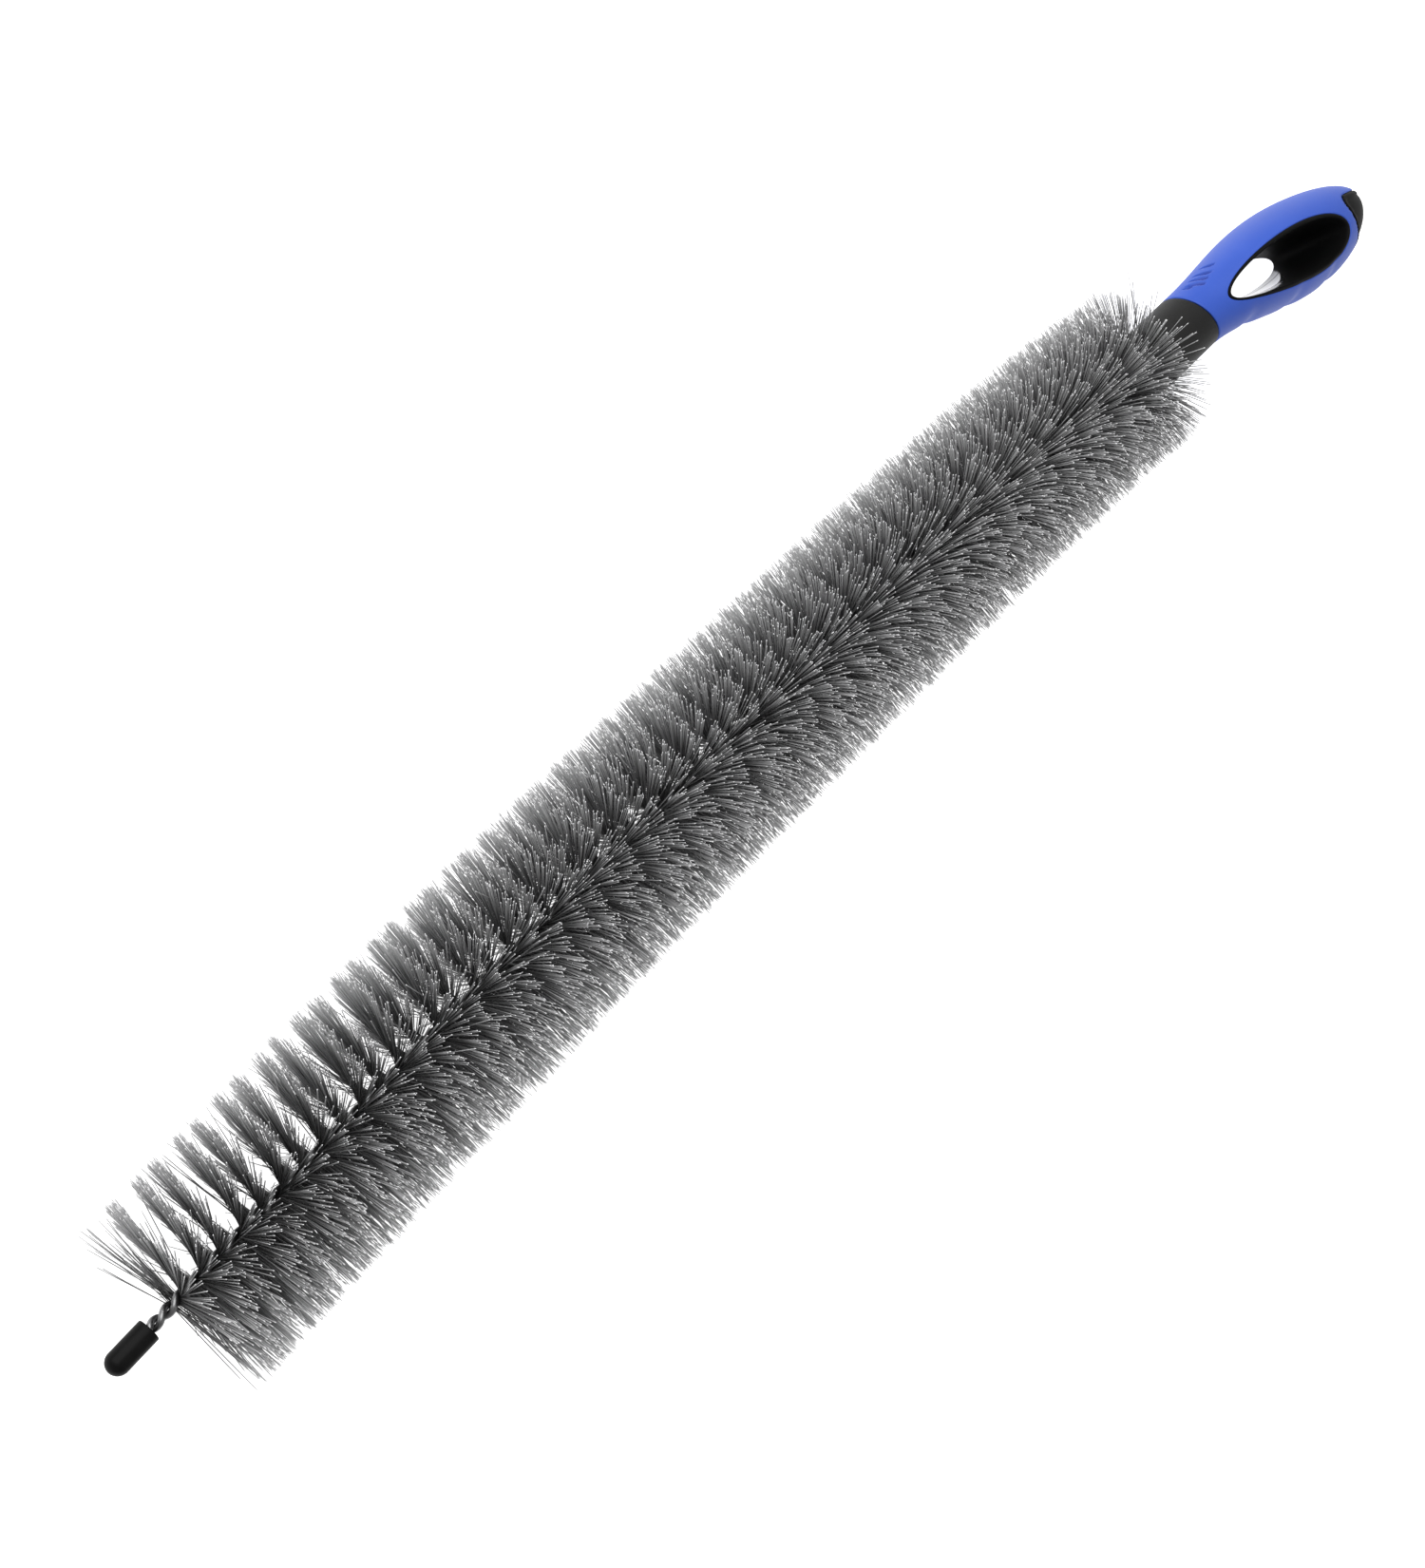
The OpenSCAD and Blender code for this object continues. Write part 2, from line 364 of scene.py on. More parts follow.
class Finish:
    """A material whose surface is one Principled shader."""

    def __init__(self, name, **constants):
        self.material = bpy.data.materials.new(name)
        self.material.use_nodes = True
        self.nodes = self.material.node_tree.nodes
        self.links = self.material.node_tree.links
        self.shader = self.nodes["Principled BSDF"]
        for socket, value in constants.items():
            self.set(socket.replace("_", " "), value)

    def node(self, kind, settings, values, output=0):
        """A node with its settings set first, then its sockets in order or by name."""
        made = self.nodes.new(kind)
        for key, value in settings.items():
            setattr(made, key, value)
        items = values.items() if isinstance(values, dict) else enumerate(values)
        for key, value in items:
            self.feed(made.inputs[key], value)
        return Shade(self, made.outputs[output])

    def feed(self, socket, value):
        """Links a socket to another one, or sets its value."""
        value = value.value if isinstance(value, Shade) else value
        if isinstance(value, bpy.types.NodeSocket):
            self.links.new(value, socket)
        elif isinstance(value, tuple) and len(value) == 3 and socket.type == "RGBA":
            socket.default_value = (*value, 1)
        else:
            socket.default_value = value

    def set(self, socket, value):
        """Feeds one of the shader's own sockets, by its name."""
        self.feed(self.shader.inputs[socket], value)

    def coordinates(self):
        """The object's own coordinates, in metres."""
        return self.node("ShaderNodeTexCoord", {}, [], "Object")

    def attribute(self, name):
        """A number that the mesh holds at each of its points."""
        return self.node("ShaderNodeAttribute", {"attribute_name": name}, [], "Fac")

    def noise(self, scale, detail=2.0, roughness=0.5, vector=None):
        """Values from 0 to 1; scale counts features in each metre."""
        return self.node(
            "ShaderNodeTexNoise",
            {},
            {
                "Vector": vector or self.coordinates(),
                "Scale": scale,
                "Detail": detail,
                "Roughness": roughness,
            },
            "Fac",
        )

    def mix(self, factor, a, b):
        """The colour a where the factor is 0 and b where it is 1."""
        return self.node("ShaderNodeMix", {"data_type": "RGBA"}, {0: factor, 6: a, 7: b}, 2)

    def bump(self, height, distance, strength):
        """A normal tilted by the slope of a height from 0 to 1."""
        values = {"Strength": strength, "Distance": distance, "Height": height}
        return self.node("ShaderNodeBump", {}, values, "Normal")


def bristle_finish():
    """Dark grey nylon, each filament a little different, with painted shade near the stem, painted
    light along the outer part and pale sheared ends that carry a painted glint.
    """
    f = Finish("bristle_nylon", Roughness=0.42, IOR=1.53, Specular_IOR_Level=0.5)
    along = f.attribute("along")
    tint = f.attribute("tint")
    dyed = f.mix(tint, (0.045, 0.045, 0.046), (0.195, 0.195, 0.199))
    # Painted shade: each filament darkens towards its root, deep in the head where shade falls.
    shaft = f.mix(along.step(0.0, 0.60), (0.008, 0.008, 0.008), dyed)
    # Painted light: the outer part of each filament is paled, as it is lit and seen against the
    # white table.
    lit_outer_part = f.mix(along.step(0.58, 1.0) * 0.78, shaft, (0.50, 0.50, 0.505))
    # The sheared ends are pale, partly the cut's own colour and partly a painted glint.
    f.set("Base Color", f.mix(along.step(0.97, 0.98), lit_outer_part, (0.85, 0.85, 0.86)))
    return f.material


def wire_finish():
    """Drawn, zinc-plated steel: fine lines along each wire and dull patches."""
    f = Finish("drawn_steel", Metallic=1.0)
    lay = f.node("ShaderNodeUVMap", {"uv_map": "lay"}, [], "UV")
    stretched = f.node("ShaderNodeMapping", {}, {"Vector": lay, "Scale": (60.0, 9.0, 1.0)}, "Vector")
    lines = f.noise(1.0, 3.0, 0.6, stretched)
    patches = f.noise(900.0, 3.0)
    f.set("Base Color", f.mix(patches, (0.10, 0.10, 0.10), (0.27, 0.27, 0.275)))
    f.set("Roughness", lines * 0.18 + patches * 0.12 + 0.16)
    f.set("Normal", f.bump(lines, 0.03 * MM, 0.4))
    return f.material


def cap_finish():
    """Dipped black vinyl with a faint orange-peel skin."""
    f = Finish("cap_vinyl", IOR=1.5, Specular_IOR_Level=0.05)
    peel = f.noise(1400.0, 2.0)
    smudge = f.noise(260.0, 3.0)
    f.set("Base Color", f.mix(smudge, (0.003, 0.003, 0.003), (0.007, 0.007, 0.007)))
    f.set("Roughness", smudge * 0.16 + 0.30)
    f.set("Normal", f.bump(peel, 0.03 * MM, 0.5))
    return f.material


def ferrule_finish():
    """Spark-eroded black polypropylene: a fine matte grain that catches light."""
    f = Finish("ferrule_plastic", IOR=1.49, Specular_IOR_Level=0.22)
    grain = f.noise(5200.0, 2.0, 0.6)
    broad = f.noise(180.0, 3.0)
    f.set("Base Color", f.mix(grain, (0.001, 0.001, 0.001), (0.015, 0.015, 0.0145)))
    f.set("Roughness", broad * 0.14 + 0.50)
    f.set("Normal", f.bump(grain, 0.10 * MM, 0.7))
    return f.material


def lining_finish():
    """Black polypropylene, dull but for a glossy coat where the tool is polished."""
    f = Finish("lining_plastic", IOR=1.49, Specular_IOR_Level=0.06)
    haze = f.noise(120.0, 3.0)
    f.set("Base Color", f.mix(haze, (0.002, 0.002, 0.002), (0.005, 0.005, 0.005)))
    f.set("Roughness", haze * 0.10 + 0.55)
    f.set("Normal", f.bump(f.noise(500.0, 2.0), 0.02 * MM, 0.3))
    f.set("Coat Weight", f.attribute("polish"))
    f.set("Coat Roughness", 0.04)
    f.set("Coat IOR", 2.0)
    return f.material


def grip_finish():
    """Soft blue moulded rubber, cloudy with handling, with painted shade darkening its grooves."""
    f = Finish("grip_rubber", IOR=1.46, Specular_IOR_Level=0.3)
    grain = f.noise(4200.0, 2.0, 0.6)
    cloud = f.noise(70.0, 4.0, 0.55)
    blue = f.mix(cloud, (0.020, 0.062, 0.350), (0.032, 0.082, 0.410))
    # Painted shade: the grooves are darkened by their depth, as shade falls in them.
    f.set("Base Color", f.mix(f.attribute("groove"), blue, (0.004, 0.014, 0.17)))
    f.set("Roughness", cloud * 0.12 + grain * 0.08 + 0.44)
    f.set("Normal", f.bump(grain, 0.05 * MM, 0.5))
    return f.material


BRISTLE = bristle_finish()
STEEL = wire_finish()
VINYL = cap_finish()
FERRULE = ferrule_finish()
LINING = lining_finish()
RUBBER = grip_finish()


# ------------------------------------------------------------------ bristles


def filaments(turn):
    """The filaments of one turn of the spiral, as two halves each.

    A half leaves the stem's centreline at x in the direction of the spiral's lay
    there, plus scatter. Its point at distance r is the centreline's point, plus
    r times that direction, plus r times its lean along the stem, plus a bow that
    grows with the square of r. Three sides are set round that path.
    """
    # The first turn begins a little nearer to the cap than its solid does.
    lead = LEAD_LEN if turn == 0 else 0
    pairs = int(FILAMENTS_PER_TURN * (1 + lead / PITCH))
    count = 2 * pairs
    half = np.arange(count) % 2
    place = (np.arange(count) // 2 + rng.random(count)) / pairs
    x = HEAD_START + turn * PITCH - lead + place * (PITCH + lead)
    along_head = (x - HEAD_START) / (HEAD_END - HEAD_START)
    fold = np.where(half == 0, KINK / 2, TAU / 2 - KINK / 2)
    angle = lay_angle(x) + fold + TURN_SCATTER * rng.standard_normal(count)
    # They lean with the stem's bow, and less evenly on the side it bows away from.
    slope = (stem_y(x + MM) - stem_y(x - MM)) / (2 * MM)
    lean = LEAN + (SIDE_LEAN - slope) * np.cos(angle) + np.where(half == 0, TILT, -TILT)
    uneven = 1 + UNEVENNESS * (1 - np.cos(angle))
    lean = lean + LEAN_SCATTER * uneven * rng.standard_normal(count)
    # Stragglers stand well out of their fan.
    stray = rng.random(count) < STRAY_SHARE
    lean += stray * STRAY_SCATTER * rng.standard_normal(count)
    # The first bristles fall loose, towards the tip on one side and a little
    # towards the handle on the other. The last fall towards the handle.
    loose_front = np.clip(1 - (x - HEAD_START + LEAD_LEN) / FRONT_SPLAY, 0, 1)
    loose_back = np.clip(1 - (HEAD_END - x) / BACK_SPLAY, 0, 1)
    falls = np.where(np.cos(angle) > 0, 1.0, -0.35)
    lean += -np.sqrt(loose_front) * falls * FRONT_FALL * rng.random(count)
    lean += loose_back * BACK_FALL * rng.random(count)
    lean = np.clip(lean, LEAST_LEAN, MOST_LEAN)
    reach = REACH_AT_TIP + (REACH_AT_HANDLE - REACH_AT_TIP) * along_head
    reach = reach + REACH_SCATTER * rng.standard_normal(count)
    # Near the tip they are a little longer on the side towards -Y.
    near_tip = np.clip(1 - along_head / 0.2, 0, 1)
    reach = reach - TIP_SIDE_EXTRA * np.minimum(np.cos(angle), 0) * near_tip
    # In the middle they are a little longer on both sides than on top.
    middle = np.clip(along_head / 0.25, 0, 1) * np.clip((1 - along_head) / 0.15, 0, 1)
    reach = reach + SIDE_EXTRA * middle * np.cos(angle) ** 2
    reach = reach - rng.exponential(REACH_SHORTFALL, count)
    # The loose ones stand thinner than the rest.
    thinned_front = FRONT_THINNING * np.minimum(2.2 * loose_front, 1)
    thinned_back = BACK_THINNING * np.minimum(2.0 * loose_back, 1)
    keep = rng.random(count) > thinned_front + thinned_back
    x, angle, lean, reach = x[keep], angle[keep], lean[keep], reach[keep]
    count = len(x)
    length = reach / np.cos(lean)

    s = np.array(FILAMENT_STATIONS)[None, :, None]
    out = np.stack([0 * x, np.cos(angle), np.sin(angle)], -1)[:, None, :]
    side = np.stack([0 * x, -np.sin(angle), np.cos(angle)], -1)[:, None, :]
    forward = np.array([1.0, 0.0, 0.0])
    root = np.stack([x, stem_y(x), stem_z(x)], -1)[:, None, :]
    bow = BOW_SCATTER * rng.standard_normal((2, count, 1, 1))
    path = root + s * (reach[:, None, None] * out + (reach * np.tan(lean))[:, None, None] * forward)
    path = path + s**2 * (bow[0] * side + bow[1] * forward)
    # They end at the head's sides and top, and above the table it lies on.
    path[..., 1] = np.clip(path[..., 1], -HEAD_SIDE, HEAD_SIDE)
    path[..., 2] = np.clip(path[..., 2], TABLE_GAP, HEAD_TOP)

    spin = TAU * (rng.random(count)[:, None] + np.arange(FILAMENT_SIDES) / FILAMENT_SIDES)
    thickness = FILAMENT_THINNEST + FILAMENT_SPREAD * rng.random(count)
    radius = FILAMENT_R * thickness[:, None, None, None]
    sideways = np.cos(spin)[:, None, :, None] * side[:, :, None, :]
    ring = sideways + np.sin(spin)[:, None, :, None] * forward
    points = path[:, :, None, :] + radius * ring

    rows, sides = len(FILAMENT_STATIONS), FILAMENT_SIDES
    one = grid_faces(rows, sides, wrap_columns=True)
    first = np.arange(count)[:, None, None] * rows * sides
    walls = (one[None] + first).reshape(-1, 4)
    along = np.broadcast_to(s[..., 0][:, :, None], (count, rows, sides))
    tint = rng.random(count)[:, None, None] ** TINT_CURVE
    return points, walls, along, np.broadcast_to(tint, (count, rows, sides))


def bristle_piece(turn, name):
    """The piece for one turn of bristles, standing for that turn's node.

    A sheared end is a face of its own, with its own points, so that it stays pale: the cut's own
    paleness, brightened further as a painted glint.
    """
    points, walls, along, tint = filaments(turn)
    shaft = points.reshape(-1, 3)
    end_points = points[:, -1].reshape(-1, 3)
    end_faces = len(shaft) + np.arange(len(end_points)).reshape(-1, FILAMENT_SIDES)
    piece = new_piece(
        "bristles_" + name[-2:],
        np.concatenate([shaft, end_points]),
        [*walls.tolist(), *end_faces.tolist()],
        BRISTLE,
        "brush",
        (name,),
    )
    shaft_along = np.minimum(along.ravel(), SHEARED_FROM)
    point_attribute(piece, "along", np.concatenate([shaft_along, np.full(len(end_points), 1.0)]))
    point_attribute(piece, "tint", np.concatenate([tint.ravel(), tint[:, -1].ravel()]))


for turn, name in enumerate(turn_names):
    bristle_piece(turn, name)


# ---------------------------------------------------------------- stem wires


def stem_wire(name, side, node):
    """A round wire along a helix about the stem's centreline.

    The helix has the frame's own twist. A ring of points stands square to its
    tangent at each station: centre + r * (cos t * n + sin t * b).
    """
    start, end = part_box(node)[0][0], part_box(node)[1][0]
    x = np.linspace(start, end, WIRE_STATIONS)
    angle = lay_angle(x) + side * TAU / 4
    helix = np.stack(
        [x, stem_y(x) + TWIST_R * np.cos(angle), stem_z(x) + TWIST_R * np.sin(angle)], -1
    )
    tangent = np.gradient(helix, axis=0)
    tangent /= np.linalg.norm(tangent, axis=1, keepdims=True)
    inward = np.stack([0 * x, np.cos(angle), np.sin(angle)], -1)
    b = np.cross(tangent, inward)
    b /= np.linalg.norm(b, axis=1, keepdims=True)
    n = np.cross(b, tangent)
    t = np.arange(WIRE_SIDES) * TAU / WIRE_SIDES
    points = helix[:, None] + WIRE_R * (
        np.cos(t)[None, :, None] * n[:, None] + np.sin(t)[None, :, None] * b[:, None]
    )
    faces = tube_faces(WIRE_STATIONS, WIRE_SIDES)
    piece = new_piece(name, points, faces, STEEL, "brush", (node,))
    # The lay map runs once round the wire, and counts centimetres along it.
    uv = piece.data.uv_layers.new(name="lay")
    index = np.empty(len(piece.data.loops), dtype=int)
    piece.data.loops.foreach_get("vertex_index", index)
    row, column = np.divmod(index, WIRE_SIDES)
    step = np.linalg.norm(np.diff(helix, axis=0), axis=1).mean()
    uv.data.foreach_set("uv", np.stack([column / WIRE_SIDES, row * step * 100], -1).ravel())


stem_wire("wire_a", 1, "stem_wire_a")
stem_wire("wire_b", -1, "stem_wire_b")


# -------------------------------------------------------------------- tip cap


def tip_cap():
    """The dipped cap, turned about the end of the stem.

    Its profile runs from the bore's floor to the mouth, round the mouth's two
    edges, along a straight wall and over a quarter circle to the pole.
    """
    low, high = (np.array(c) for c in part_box("tip_cap"))
    slope = (AXIS_Y[3] - AXIS_Y[0]) / (wire_x[3] - wire_x[0])
    axis = -np.array([1, slope, 0])
    axis /= np.linalg.norm(axis)
    r = (high[2] - low[2]) / 2
    mouth_x = HEAD_START - CAP_TO_HEAD
    centre = np.array([mouth_x, stem_y(mouth_x), stem_z(mouth_x)])
    straight = CAP_LEN - r
    quarter = np.linspace(0, TAU / 4, 24)
    edge_s = CAP_EDGE * (1 - np.cos(quarter[::4]))
    edge_r = r - CAP_EDGE + CAP_EDGE * np.sin(quarter[::4])
    dome_s = straight + r * np.sin(quarter[1:])
    dome_r = np.maximum(r * np.cos(quarter[1:]), POLE_R)
    profile = np.concatenate(
        [
            [[CAP_BORE_DEPTH, BORE_FLOOR_R], [CAP_BORE_DEPTH, BORE_R], [CAP_WALL_START, BORE_R]],
            [[CAP_MOUTH_EDGE, BORE_R], [0.0, BORE_R + CAP_MOUTH_EDGE], [0.0, r - CAP_EDGE]],
            np.stack([edge_s, edge_r], -1),
            np.stack([np.linspace(CAP_WALL_START, straight, 12), np.full(12, r)], -1),
            np.stack([dome_s, dome_r], -1),
        ]
    )
    sides = 48
    points = surface_of_revolution(profile, sides, centre, axis)
    faces = tube_faces(len(profile), sides)
    piece = new_piece("cap", points, faces, VINYL, "cap", ("tip_cap",))
    outward(piece)


tip_cap()


# --------------------------------------------------------------------- handle


def rising(u):
    """A quarter of a sine: 0 up to u = 0, and 1 from u = 1."""
    return np.sin(TAU / 4 * np.clip(u, 0, 1))


def half_size(h, largest, peak):
    """Half a width or depth of the grip, h behind its front.

    It swells from the ferrule as a power of a sine up to the peak, and closes at
    the butt as a rounded end.
    """
    front = FERRULE_R + (largest / 2 - FERRULE_R) * rising(h / peak) ** SWELL
    u = np.clip((h - peak) / (GRIP_LEN - peak), 0, 1)
    back = largest / 2 * np.sqrt(np.maximum(1 - u**ROUNDNESS, 0))
    return np.where(h <= peak, front, back)


def grip_bend(h):
    """The share from 0 to 1 of the grip's swing and dip, h behind its front."""
    return rising(h / GRIP_LEN) ** BEND_EASE


def grip_y(h):
    """The y of the grip's middle line, h behind its front."""
    return FERRULE_Y - GRIP_SWING * grip_bend(h)


def grip_z(h):
    """The z of the grip's middle line, h behind its front."""
    return FERRULE_Z - GRIP_DIP * grip_bend(h)


def grooves(h, angle):
    """Depth from 0 to 1 of the slanted grooves on the grip's shoulder.

    Each is a round-bottomed cut along a slanted line. Its half width rises as a
    root to a blunt end nearest the window and falls as a root to a fine tail.
    """
    turn = np.degrees(angle)
    depth = np.zeros_like(h)
    for at, low, high in GROOVES:
        along = np.clip((turn - low) / (high - low), 0, 1)
        blunt_end = np.sqrt(np.minimum(along / GROOVE_BLUNT_SHARE, 1))
        half = GROOVE_HALF_W * blunt_end * (1 - along) ** GROOVE_TAPER
        line = (at + GROOVE_SLANT * ((low + high) / 2 - turn)) * MM
        across = (h - line) / np.maximum(half, 0.001 * MM)
        depth = np.maximum(depth, np.sqrt(np.clip(1 - across**2, 0, 1)) * half / GROOVE_HALF_W)
    return depth


def finger_dips(h, angle):
    """Three shallow notches between finger bumps along the grip's lower edge."""
    dips = sum(np.exp(-(((h - at) / NOTCH_LEN) ** 2)) for at in NOTCHES_AT)
    return dips * np.clip(-np.sin(angle), 0, 1) ** 3


def grip_point(h, angle, inset=0.0):
    """A point of the grip: h behind its front, and an angle from +Z towards +Y.

    Each ring of the grip is an ellipse, less the inset, the grooves and the notches.
    """
    sunk = inset + GROOVE_DEPTH * grooves(h, angle) + NOTCH_DEPTH * finger_dips(h, angle)
    w = np.maximum(half_size(h, GRIP_W, WIDEST_AT) - sunk, POLE_R)
    d = np.maximum(half_size(h, GRIP_DEPTH, DEEPEST_AT) - sunk, POLE_R)
    return np.stack(
        [GRIP_X + h, grip_y(h) + w * np.sin(angle), grip_z(h) + d * np.cos(angle)], -1
    )


def window_outline(a, z, extra):
    """Distance h behind the grip's front, and y, of the window's wall at height z.

    It is an egg in plan, with its small end to the front, and it narrows in a
    straight line from its upper rim to its lower one.
    """
    t = (GRIP_DEPTH / 2 - (z - FERRULE_Z)) / GRIP_DEPTH
    start = WINDOW_START + (WINDOW_UNDER_START - WINDOW_START) * t
    length = WINDOW_LEN + (WINDOW_UNDER_LEN - WINDOW_LEN) * t
    width = WINDOW_W + (WINDOW_UNDER_W - WINDOW_W) * t
    h = start + length / 2 + (length / 2 + extra) * np.cos(a)
    y = (width / 2 + extra) * np.sin(a) * (1 + WINDOW_EGG * np.cos(a))
    return h, grip_y(h) - (h - WINDOW_START) * np.tan(WINDOW_SKEW) + y


def window_rim(a, side, extra):
    """Where the window's wall meets the grip's upper or lower face: h and angle.

    The wall depends on the height and the face's height on the place, so each is
    worked out from the other until they settle.
    """
    z = FERRULE_Z + side * GRIP_DEPTH / 2 + 0 * a
    for _ in range(30):
        h, y = window_outline(a, z, extra)
        rho = np.clip((y - grip_y(h)) / half_size(h, GRIP_W, WIDEST_AT), -0.97, 0.97)
        z = grip_z(h) + side * half_size(h, GRIP_DEPTH, DEEPEST_AT) * np.sqrt(1 - rho**2)
    angle = np.arcsin(rho)
    return h, np.where(side > 0, angle, TAU / 2 - angle)


def path_of_h(h):
    """A coordinate v that grows evenly towards the butt's pole; see h_of_path."""
    u = np.clip((h - DEEPEST_AT) / (GRIP_LEN - DEEPEST_AT), 0, 1)
    rounded = DEEPEST_AT + (GRIP_LEN - DEEPEST_AT) * np.arcsin(u) / (TAU / 4)
    return np.where(h < DEEPEST_AT, h, rounded)


def h_of_path(v):
    """Distance behind the grip's front: v itself, then a sine up to the pole."""
    u = np.clip((v - DEEPEST_AT) / (GRIP_LEN - DEEPEST_AT), 0, 1)
    return np.where(v < DEEPEST_AT, v, DEEPEST_AT + (GRIP_LEN - DEEPEST_AT) * rising(u))


def insert_depth(h, y):
    """How far a point lies inside the butt insert's outline in plan.

    The insert is the corner behind a square line and below a falling one. The
    distance is to the nearer line, or to an arc where both are near.
    """
    corner_h = GRIP_LEN - BUTT_LEN + BUTT_CORNER
    corner_y = FERRULE_Y - BUTT_DROP - BUTT_CORNER
    behind = h - (corner_h - BUTT_CORNER)
    fall_x, fall_y = np.sin(BUTT_FALL), np.cos(BUTT_FALL)
    below = BUTT_CORNER - ((h - corner_h) * fall_x + (y - corner_y) * fall_y)
    a, b = BUTT_CORNER - behind, BUTT_CORNER - below
    arc = BUTT_CORNER - np.hypot(np.maximum(a, 0), np.maximum(b, 0))
    return np.where((a > 0) & (b > 0), arc, np.minimum(behind, below))


def edge_drop(distance, radius):
    """How far a rounded edge lies below its face, at a distance from the edge."""
    u = np.clip(1 - distance / radius, 0, 1)
    return radius * (1 - np.sqrt(1 - u**2))


# The grip's skin is laid on spokes, and steps along them from 0 to 1. Along the
# edge on the +Y side, the spokes stand closer together by the grooves.
SPOKES_PER_SIDE = 200
SPOKES_AT_END = 90
SPOKES_BEFORE_GROOVES = 70
SPOKES_BY_GROOVES = 150
GROOVES_FROM = 0.76
RIM_STEPS = [0, 0.004, 0.010, 0.019, 0.032, 0.05]
MIDDLE_STEPS = np.linspace(0.075, 0.955, 38)
EDGE_STEPS = [0.972, 0.985, 0.994, 1]


def grip_skin(side):
    """Grid of h and angle over the upper or lower half of the grip's outside.

    Spokes run straight in a plane of path coordinate against angle, from the
    window's rim to the half's outline: the slanted front, the two edges where
    the halves meet, and the pole of the butt.
    """
    quarter = TAU / 4
    edge_t = np.linspace(-1, 1, SPOKES_AT_END, endpoint=False) * quarter
    slant = -np.tan(FRONT_SLANT) * FERRULE_R
    run = np.linspace(0, 1, SPOKES_PER_SIDE, endpoint=False)
    fine_run = np.concatenate(
        [
            np.linspace(0, GROOVES_FROM, SPOKES_BEFORE_GROOVES, endpoint=False),
            np.linspace(GROOVES_FROM, 1, SPOKES_BY_GROOVES, endpoint=False),
        ]
    )
    v = np.concatenate(
        [
            np.full(SPOKES_AT_END, GRIP_LEN),
            GRIP_LEN + (slant - GRIP_LEN) * fine_run,
            slant * np.sin(-edge_t),
            -slant + (GRIP_LEN + slant) * run,
        ]
    )
    t = np.concatenate(
        [edge_t, np.full(len(fine_run), quarter), -edge_t, np.full(SPOKES_PER_SIDE, -quarter)]
    )
    # A spoke starts at the angle round the window at which its far end lies.
    middle, half_length, half_width = 37.0 * MM, 29.0 * MM, np.radians(30)
    a = np.arctan2(t / half_width, (v - middle) / half_length)
    rim_h, rim_t = window_rim(a, side, LIP_T)
    if side < 0:
        rim_t = TAU / 2 - rim_t
    rim_v = path_of_h(rim_h)
    middle_steps = MIDDLE_STEPS if side > 0 else MIDDLE_STEPS[::2]
    steps = np.concatenate([RIM_STEPS, middle_steps, EDGE_STEPS])
    spoke_v = rim_v[:, None] + (v - rim_v)[:, None] * steps
    spoke_t = rim_t[:, None] + (t - rim_t)[:, None] * steps
    return h_of_path(spoke_v), spoke_t if side > 0 else TAU / 2 - spoke_t


def grip_half(side):
    """Points of one half, with its distances to the rim, the front and the insert."""
    h, t = grip_skin(side)
    plain = grip_point(h, t)
    from_rim = np.linalg.norm(plain - plain[:, :1], axis=2)
    from_front = h + np.tan(FRONT_SLANT) * FERRULE_R * np.sin(t)
    inside = insert_depth(h, plain[..., 1])
    return h, t, from_rim, from_front, inside


def butt_planes():
    """Points and normals of the planes that touch the insert's outline in plan."""
    corner_x = GRIP_X + GRIP_LEN - BUTT_LEN + BUTT_CORNER
    corner_y = FERRULE_Y - BUTT_DROP - BUTT_CORNER
    corner = np.array([corner_x, corner_y, 0])
    turns = np.linspace(TAU / 2, TAU / 4 - BUTT_FALL, 14)
    normals = np.stack([np.cos(turns), np.sin(turns), 0 * turns], -1)
    return corner + BUTT_CORNER * normals, normals


def cut_to_region(piece, keep_inside):
    """Cuts a skin along the insert's outline, drops one side and faces it outwards."""
    points, normals = butt_planes()
    reach = 8 * MM
    bm = bmesh.new()
    bm.from_mesh(piece.data)
    bmesh.ops.remove_doubles(bm, verts=bm.verts, dist=1e-6)
    for point, normal in zip(points, normals):
        near = [f for f in bm.faces if f.calc_center_median().x > point[0] - reach]
        corners_and_edges = {v for f in near for v in f.verts} | {e for f in near for e in f.edges}
        geometry = list(corners_and_edges) + near
        bmesh.ops.bisect_plane(bm, geom=geometry, dist=1e-7, plane_co=point, plane_no=normal)
    centres = np.array([f.calc_center_median()[:] for f in bm.faces])
    beyond = ((centres[:, None] - points) * normals).sum(-1).max(1)
    drop = [f for f, d in zip(bm.faces, beyond) if (d > 0) == keep_inside]
    bmesh.ops.delete(bm, geom=drop, context="FACES")
    bmesh.ops.recalc_face_normals(bm, faces=bm.faces)
    middle = Vector((GRIP_X + GRIP_LEN / 2, FERRULE_Y, FERRULE_Z))
    facing = sum(f.calc_area() * f.normal.dot(f.calc_center_median() - middle) for f in bm.faces)
    if facing < 0:
        bmesh.ops.reverse_faces(bm, faces=bm.faces)
    bm.to_mesh(piece.data)
    bm.free()


